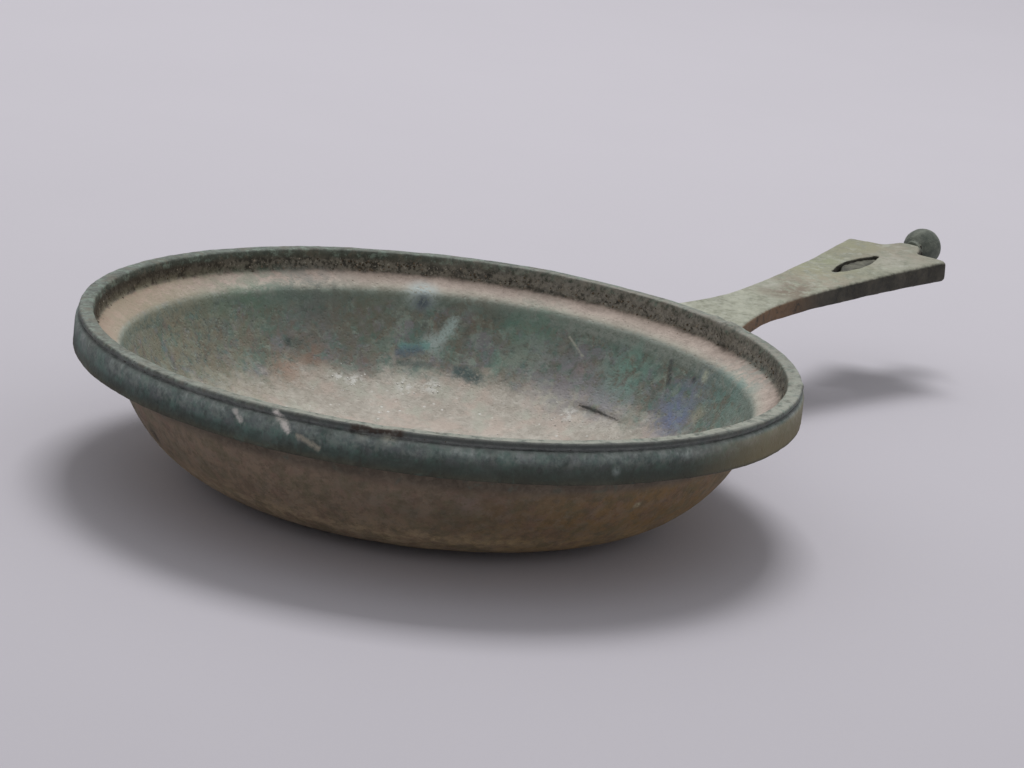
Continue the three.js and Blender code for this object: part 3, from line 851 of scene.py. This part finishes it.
def bowl_material():
    g = Graph("aged_bowl")
    run = g.attribute("station")
    grain = g.noise(1.3, seed=1, detail=5, rough=0.65, warp=0.4)
    patches = g.noise(8, seed=2, warp=0.6)
    clouds = g.noise(26, seed=3, detail=3)
    drift = g.plus(g.centred(patches, 1.0), g.centred(grain, 1.0))
    where = g.math("DIVIDE", g.plus(run, drift), float(profile.station[-1]))
    share = g.plus(g.times(g.span(patches, 0.36, 0.66), 0.4), g.times(g.span(grain, 0.36, 0.66), 0.6))
    stops = [(profile.at(name, part) / profile.station[-1], a, b) for name, part, a, b in BOWL_TONES_WITH_PAINTED_LIGHT]
    dark = g.ramp(where, [(at, a) for at, a, _ in stops])
    light = g.ramp(where, [(at, b) for at, _, b in stops])
    colour = g.mix(share, dark, light)
    outside = g.span(run, profile.at("lip", 1.0), profile.at("lip", 0.0))
    green = g.span(g.noise(4, seed=5, detail=5, warp=1.0), 0.55, 0.68)
    colour = g.mix(g.times(green, outside, 0.3), colour, (0.095, 0.165, 0.140))
    colour = g.mix(g.times(g.span(clouds, 0.52, 0.68), 0.20), colour, (0.150, 0.125, 0.092))
    colour = body_tints(g, colour, run)
    colour = band_mottle(g, colour, run)
    colour = lip_mottle(g, colour, run)
    colour = rim_tints_and_painted_light(g, colour, run)
    colour = wall_mottle(g, colour, run)
    colour = floor_dust(g, colour, run, share)
    colour = rim_soil(g, colour, run)
    colour = rim_haze(g, colour, run)
    colour = spots(g, colour, run)
    colour = chalk_specks(g, colour, run)
    colour = crack_painted_shade(g, colour)
    colour = marks(g, colour)
    pits, _ = g.cells(0.9, seed=4)
    height = g.plus(g.times(grain, 0.7), g.times(patches, 0.6), g.times(g.span(pits, 0.10, 0.40), 0.22))
    return g.finish(colour, g.span(grain, 0.3, 0.7, 0.62, 0.88), height, 0.30)


def handle_material():
    """Dusty olive on top; dark on the sides and below, partly patina and partly painted shade; a bare brown
    stretch by the root.
    """
    g = Graph("aged_handle")
    grain = g.noise(1.1, seed=101, detail=5, rough=0.65, warp=0.4)
    patches = g.noise(5, seed=102, detail=5, warp=0.8)
    share = g.plus(g.times(g.span(patches, 0.36, 0.66), 0.5), g.times(g.span(grain, 0.36, 0.66), 0.5))
    top = g.mix(share, (0.200, 0.208, 0.160), (0.405, 0.410, 0.332))
    along = g.node("ShaderNodeSeparateXYZ", {0: g.place}).outputs["X"]
    top = g.mix(g.times(g.span(along, 130, 172), 0.45), top, (0.215, 0.210, 0.172))
    ragged = g.span(g.noise(3.0, seed=103, detail=6, rough=0.70), 0.38, 0.58)
    for place, reach, amount, tone in HANDLE_PATCHES:
        colour = g.times(g.near(place, reach, 0.7), ragged, amount)
        top = g.mix(colour, top, tone)
    pale = g.span(g.noise(3.0, seed=104, detail=5, rough=0.65), 0.53, 0.66)
    top = g.mix(g.times(pale, 0.30), top, (0.500, 0.515, 0.450))
    dull = g.span(g.noise(2.4, seed=106, detail=5, rough=0.65), 0.55, 0.66)
    top = g.mix(g.times(dull, 0.40), top, (0.185, 0.180, 0.135))
    # The side tone is partly dark patina and partly painted shade.
    side = g.mix(share, (0.030, 0.029, 0.024), (0.088, 0.080, 0.064))
    rust = g.times(g.near((99, -8.4, 22), 15, 0.5, (0.8, 1, 1)), g.span(share, -0.2, 0.5))
    side = g.mix(g.times(rust, 0.85), side, (0.210, 0.130, 0.078))
    # Toned by facing: upward faces take the dusty top tone, and the sides and underside the darker side tone
    # with its painted shade.
    normal = g.node("ShaderNodeNewGeometry").outputs["Normal"]
    up = g.node("ShaderNodeSeparateXYZ", {0: normal}).outputs["Z"]
    colour = g.mix(g.span(g.plus(up, g.centred(grain, 0.3)), 0.45, 0.93), side, top)
    pits, _ = g.cells(0.8, seed=105)
    height = g.plus(g.times(grain, 0.7), g.times(patches, 0.5), g.times(g.span(pits, 0.10, 0.36), 0.2))
    return g.finish(colour, g.span(grain, 0.3, 0.7, 0.65, 0.9), height, 0.17)
HANDLE_PATCHES = (
    ((98, 0, 22), 22, 0.50, (0.470, 0.478, 0.400)),
    ((160, 1, 27), 10, 0.60, (0.310, 0.252, 0.208)),
    ((134, 0, 25), 9, 0.65, (0.335, 0.275, 0.222)),
    ((120, -2, 24), 7, 0.90, (0.195, 0.155, 0.118)),
    ((142, 6, 26), 10, 0.65, (0.280, 0.298, 0.188)),
    ((161, 8, 27), 7, 0.65, (0.265, 0.275, 0.175)),
    ((157, -5, 27), 5, 0.50, (0.420, 0.432, 0.370)),
    ((120, 4, 24), 3, 0.60, (0.500, 0.510, 0.450)),
)


def thicken_roof(mesh):
    """Thickens the thin roof over the knob's socket, inside the plate."""
    size = (SOCKET_DEPTH + ROOF_THICKNESS, 2 * NECK_RADIUS - 1, ROOF_THICKNESS)
    middle = Vector((TONGUE_END - size[0] / 2 - 0.1, 0, -ROOF_THICKNESS / 2 - 0.1))
    place = Matrix.Scale(MM, 4) @ handle_frame() @ Matrix.Translation(middle) @ Matrix.Diagonal((*size, 1))
    grown = bmesh.new()
    grown.from_mesh(mesh)
    bmesh.ops.create_cube(grown, size=1, matrix=place)
    grown.to_mesh(mesh)
    grown.free()


def plain_patina(name, dark, light, seed):
    g = Graph(name)
    grain = g.noise(1.2, seed, detail=5, rough=0.65, warp=0.4)
    patches = g.noise(4, seed + 1, warp=0.8)
    share = g.plus(g.times(g.span(patches, 0.34, 0.68), 0.6), g.times(g.span(grain, 0.36, 0.66), 0.4))
    return g.finish(g.mix(share, dark, light), g.span(grain, 0.3, 0.7, 0.55, 0.85), g.plus(grain, patches), 0.2)


def crumb_material():
    g = Graph("soil_crumbs")
    tone = g.plus(g.attribute("tone"), g.centred(g.noise(0.6, seed=121), 0.3))
    colour = g.ramp(
        tone,
        [
            (0.0, (0.030, 0.028, 0.020)),
            (0.4, (0.085, 0.066, 0.045)),
            (0.65, (0.170, 0.130, 0.095)),
            (0.85, (0.330, 0.285, 0.230)),
            (1.0, CHALK),
        ],
    )
    return g.finish(colour, 0.9, g.noise(0.4, seed=122), 0.08, specular=0.15)


def aged_copy(node, name, voxel, material, waves, prepare=None):
    """A finely meshed copy of a CAD node with worn edges and an uneven skin."""
    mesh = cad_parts[node].data.copy()
    mesh.materials.clear()
    if prepare:
        prepare(mesh)
    source = bpy.data.objects.new(name + "_source", mesh)
    scene.collection.objects.link(source)
    remesh = source.modifiers.new("remesh", "REMESH")
    remesh.mode = "VOXEL"
    remesh.voxel_size = voxel * MM
    smooth = source.modifiers.new("smooth", "SMOOTH")
    smooth.factor = 0.5
    smooth.iterations = 5
    graph = bpy.context.evaluated_depsgraph_get()
    fine = bpy.data.meshes.new_from_object(source.evaluated_get(graph))
    bpy.data.objects.remove(source)
    bpy.data.meshes.remove(mesh)
    skins = [(v.co / MM, v.normal.copy()) for v in fine.vertices]
    moved = []
    for place, normal in skins:
        moved.extend((place + normal * skin(place, waves)) * MM)
    fine.vertices.foreach_set("co", moved)
    fine.materials.append(material)
    fine.polygons.foreach_set("use_smooth", [True] * len(fine.polygons))
    fine.update()
    made = bpy.data.objects.new(name, fine)
    scene.collection.objects.link(made)
    return made


# Crumbs of soil: stretch, shares of it, count, sizes and tones
CRUMB_BEDS = (
    ("rim_inside", (0.45, 1.0), 440, (0.12, 0.30), (0.25, 0.84)),
    ("ledge_corner", (0.0, 0.8), 260, (0.12, 0.30), (0.25, 0.84)),
    ("ledge", (0.0, 1.0), 90, (0.08, 0.18), (0.65, 0.95)),
    ("groove", (0.0, 1.0), 80, (0.08, 0.18), (0.1, 0.6)),
    ("inner_wall", (0.45, 1.0), 50, (0.10, 0.24), (0.95, 1.1)),
    ("floor", (0.0, 0.6), 40, (0.10, 0.24), (1.0, 1.1)),
)


def squared(value):
    """A sine or cosine pushed outward, which makes a circle nearly square."""
    return math.copysign(abs(value) ** 0.5, value)
CHALK_CLUSTERS = (
    ((27.2, 40.1), 1.2, 8),
    ((34.8, 33.3), 1.3, 8),
    ((38.5, 29.5), 1.3, 8),
    ((47.9, 2.2), 1.8, 6),
    ((25.0, 42.5), 1.2, 5),
)

ICO = (1 + math.sqrt(5)) / 2
ICO_CORNERS = [
    Vector(corner).normalized()
    for s in (-1, 1)
    for t in (-ICO, ICO)
    for corner in ((0, s, t), (s, t, 0), (t, 0, s))
]


def ico_faces():
    """The triangles of three mutual neighbours among the twelve corners, facing outward."""
    near = 1.1
    faces = []
    for a in range(12):
        for b in range(a + 1, 12):
            for c in range(b + 1, 12):
                p, q, r = (ICO_CORNERS[i] for i in (a, b, c))
                if max((p - q).length, (q - r).length, (r - p).length) < near:
                    outward = (q - p).cross(r - p).dot(p) > 0
                    faces.append((a, b, c) if outward else (a, c, b))
    return faces


def crumb_places(chance):
    """Where crumbs lie: place, outward direction, size and tone of each."""
    for stretch, (low, high), count, sizes, tones in CRUMB_BEDS:
        for _ in range(count):
            station = profile.at(stretch, chance.uniform(low, high))
            spot = profile.spot(station, chance.uniform(0, 2 * math.pi))
            yield *spot, chance.uniform(*sizes), chance.uniform(*tones)
    inner = slice(profile.ends["inner_wall"][0], None)
    for (x, y), spread, count in CHALK_CLUSTERS:
        for _ in range(count):
            reach = math.hypot(x, y) + chance.gauss(0, spread)
            angle = math.atan2(y, x) + chance.gauss(0, spread) / math.hypot(x, y)
            station = np.interp(-reach, -profile.radius[inner], profile.station[inner])
            yield *profile.spot(station, angle), chance.uniform(0.12, 0.30), chance.uniform(0.95, 1.1)


def handle_frame():
    return Matrix.Translation(HANDLE_PLACE) @ Matrix.Rotation(-HANDLE_RISE, 4, "Y")


def tube_mesh(name, rings, material, closed):
    """A skin over rings of points in the handle's frame: closed into a loop, or with a cap at each end."""
    count, total = len(rings[0]), len(rings)
    to_part = handle_frame()
    vertices = [(to_part @ point) * MM for ring in rings for point in ring]
    faces = []
    for i in range(total if closed else total - 1):
        for j in range(count):
            k = (j + 1) % count
            a, b = i * count, (i + 1) % total * count
            faces.append((a + j, a + k, b + k, b + j))
    if not closed:
        faces.append(tuple(reversed(range(count))))
        faces.append(tuple(range(len(vertices) - count, len(vertices))))
    return mesh_object(name, vertices, faces, material)


def crumbs_mesh(material):
    chance = random.Random(7)
    triangles = ico_faces()
    vertices, faces, tones = [], [], []
    for place, outward, size, tone in crumb_places(chance):
        first = len(vertices)
        for corner in ICO_CORNERS:
            flat = corner - outward * corner.dot(outward) * CRUMB_FLATNESS
            vertices.append((place + flat * size * chance.uniform(0.65, 1.15)) * MM)
        faces.extend(tuple(first + i for i in face) for face in triangles)
        tones.extend([tone] * len(ICO_CORNERS))
    crumbs = mesh_object("soil_crumbs", vertices, faces, material)
    point_values(crumbs.data, "tone", tones)
    return crumbs
CRUMB_FLATNESS = 0.6


def slot_soil_mesh(material):
    """A crust of soil that fills most of the hanging slot, highest along its far side."""
    steps, around = 96, 40
    rings = []
    for i in range(steps + 1):
        along = -0.58 + 1.50 * i / steps
        half = SLOT_WIDTH / 2 * (1 - along**2)
        spine = Vector((SLOT_AT + along * SLOT_LENGTH / 2, 0.20 * half, -1.9))
        taper = math.sqrt(max(1 - (2 * i / steps - 1) ** 8, 0.02))
        ring = []
        for j in range(around):
            turn = 2 * math.pi * j / around
            away = Vector((0, math.cos(turn), math.sin(turn)))
            side = (0.90 * half + 0.15) * squared(away.y)
            rise = (1.25 + 0.25 * away.y) * squared(away.z)
            point = spine + Vector((0, side, rise)) * taper
            point += away * taper * skin(point, ((3.1, 0.35, 61), (1.5, 0.26, 62), (1.0, 0.15, 63)))
            point.x += taper * skin(point, ((1.3, 0.20, 64),))
            point.z = min(point.z, 0.4 * point.z - 0.15)
            ring.append(point)
        rings.append(ring)
    return tube_mesh("slot_soil", rings, material, closed=False)


def seat_crust_mesh(material):
    """A collar of crust that fills the corner between the tongue and the knob, level with the plate's top."""
    steps, around = 72, 20
    rings = []
    for i in range(steps):
        turn = 2 * math.pi * i / steps
        outward = Vector((0, math.cos(turn), math.sin(turn)))
        spine = Vector((TONGUE_END + 0.5, 0, -KNOB_SEAT_DROP)) + outward * (NECK_RADIUS - 0.9)
        thick = 1.2 + 0.10 * wobble(outward * 3, 1.5, 65)
        ring = []
        for j in range(around):
            lean = 2 * math.pi * j / around
            away = outward * math.cos(lean) - Vector((math.sin(lean), 0, 0))
            point = spine + away * thick
            point += away * skin(point, ((1.2, 0.10, 66), (0.8, 0.05, 67)))
            point.z = min(point.z, 0.3 * point.z + 0.05)
            ring.append(point)
        rings.append(ring)
    return tube_mesh("seat_crust", rings, material, closed=True)


def floor_mesh():
    g = Graph("pale_floor")
    tone = g.mix(g.noise(60, seed=131, detail=2), BACKDROP, tuple(c * 1.03 for c in BACKDROP))
    material = g.finish(tone, 0.75, g.noise(0.8, seed=132, detail=2), 0.03, specular=0.2)
    corners = [(x * FLOOR_HALF * MM, y * FLOOR_HALF * MM, 0) for x, y in ((-1, -1), (1, -1), (1, 1), (-1, 1))]
    return mesh_object("floor", corners, [(0, 1, 2, 3)], material)


add_camera()
add_key_light()
add_world()

settle(bowl_mesh(bowl_material()), "bowl_bronze", "bowl")
handle_patina = handle_material()
handle_waves = ((14, 0.16, 21), (5, 0.10, 22))
aged_handle = aged_copy("handle", "handle_aged", 0.3, handle_patina, handle_waves, thicken_roof)
settle(aged_handle, "handle_bronze", "handle")
slot_crust = plain_patina("slot_crust", (0.045, 0.045, 0.034), (0.175, 0.172, 0.136), 51)
settle(slot_soil_mesh(slot_crust), "handle_bronze")
settle(seat_crust_mesh(handle_patina), "handle_bronze")
solder_patina = plain_patina("aged_solder", (0.10, 0.105, 0.09), (0.27, 0.27, 0.24), 31)
solder_waves = ((3, 0.12, 31), (1.2, 0.06, 32))
settle(
    aged_copy("handle_solder", "handle_solder_aged", 0.3, solder_patina, solder_waves),
    "solder",
    "handle_solder",
)
knob_patina = plain_patina("aged_knob", (0.063, 0.075, 0.063), (0.190, 0.205, 0.173), 41)
knob_waves = ((3, 0.10, 41), (1.2, 0.05, 42))
settle(aged_copy("finial_knob", "finial_knob_aged", 0.2, knob_patina, knob_waves), "knob_bronze", "finial_knob")
soil = crumb_material()
settle(crumbs_mesh(soil), "bowl_bronze")
floor_mesh()

scene.view_settings.view_transform = "Standard"

bpy.context.view_layer.update()
